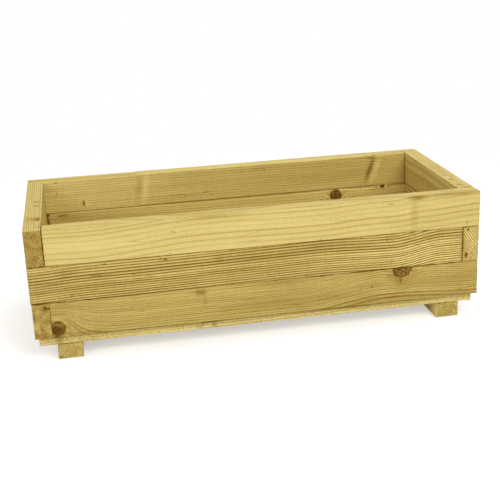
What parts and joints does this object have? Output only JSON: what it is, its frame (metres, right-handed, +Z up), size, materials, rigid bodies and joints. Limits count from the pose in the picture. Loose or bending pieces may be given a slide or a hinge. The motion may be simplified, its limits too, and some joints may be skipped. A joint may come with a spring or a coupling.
{
  "type": "window box planter",
  "caption": "Long open timber planter box with walls of stacked boards lapped at the corners, a slatted draining floor and two cross feet.",
  "frame": {"origin": "on the ground under the middle of the box", "axes": "+X along the box's length, -Y the front seen in the picture, +Z up through the open top"},
  "size_m": [0.8, 0.35, 0.24],
  "materials": {
    "planed_wall_timber": "planed softwood, pressure treated, weathered to a golden olive",
    "sawn_floor_timber": "rough sawn softwood, pressure treated",
    "sawn_foot_timber": "sawn softwood batten, pressure treated",
    "zinc_steel": "yellow zinc plated steel, dulled"
  },
  "bodies": {
    "root": {"back_board_1": "planed_wall_timber", "back_board_2": "planed_wall_timber", "back_board_3": "planed_wall_timber", "butt_screw_1_back_left": "zinc_steel", "butt_screw_1_back_right": "zinc_steel", "butt_screw_1_front_left": "zinc_steel", "butt_screw_1_front_right": "zinc_steel", "butt_screw_2_back_left": "zinc_steel", "butt_screw_2_back_right": "zinc_steel", "butt_screw_2_front_left": "zinc_steel", "butt_screw_2_front_right": "zinc_steel", "corner_screw_1_back_left": "zinc_steel", "corner_screw_1_back_right": "zinc_steel", "corner_screw_1_front_left": "zinc_steel", "corner_screw_1_front_right": "zinc_steel", "corner_screw_2_back_left": "zinc_steel", "corner_screw_2_back_right": "zinc_steel", "corner_screw_2_front_left": "zinc_steel", "corner_screw_2_front_right": "zinc_steel", "floor_board_1": "sawn_floor_timber", "floor_board_2": "sawn_floor_timber", "floor_board_3": "sawn_floor_timber", "floor_board_4": "sawn_floor_timber", "floor_screw_1_left_a": "zinc_steel", "floor_screw_1_left_b": "zinc_steel", "floor_screw_1_right_a": "zinc_steel", "floor_screw_1_right_b": "zinc_steel", "floor_screw_2_left_a": "zinc_steel", "floor_screw_2_left_b": "zinc_steel", "floor_screw_2_right_a": "zinc_steel", "floor_screw_2_right_b": "zinc_steel", "floor_screw_3_left_a": "zinc_steel", "floor_screw_3_left_b": "zinc_steel", "floor_screw_3_right_a": "zinc_steel", "floor_screw_3_right_b": "zinc_steel", "floor_screw_4_left_a": "zinc_steel", "floor_screw_4_left_b": "zinc_steel", "floor_screw_4_right_a": "zinc_steel", "floor_screw_4_right_b": "zinc_steel", "foot_left": "sawn_foot_timber", "foot_right": "sawn_foot_timber", "foot_screw_left_back": "zinc_steel", "foot_screw_left_front": "zinc_steel", "foot_screw_right_back": "zinc_steel", "foot_screw_right_front": "zinc_steel", "front_board_1": "planed_wall_timber", "front_board_2": "planed_wall_timber", "front_board_3": "planed_wall_timber", "left_board_1": "planed_wall_timber", "left_board_2": "planed_wall_timber", "left_board_3": "planed_wall_timber", "mid_screw_1_back": "zinc_steel", "mid_screw_1_front": "zinc_steel", "mid_screw_2_back": "zinc_steel", "mid_screw_2_front": "zinc_steel", "right_board_1": "planed_wall_timber", "right_board_2": "planed_wall_timber", "right_board_3": "planed_wall_timber"}
  },
  "joints": []
}
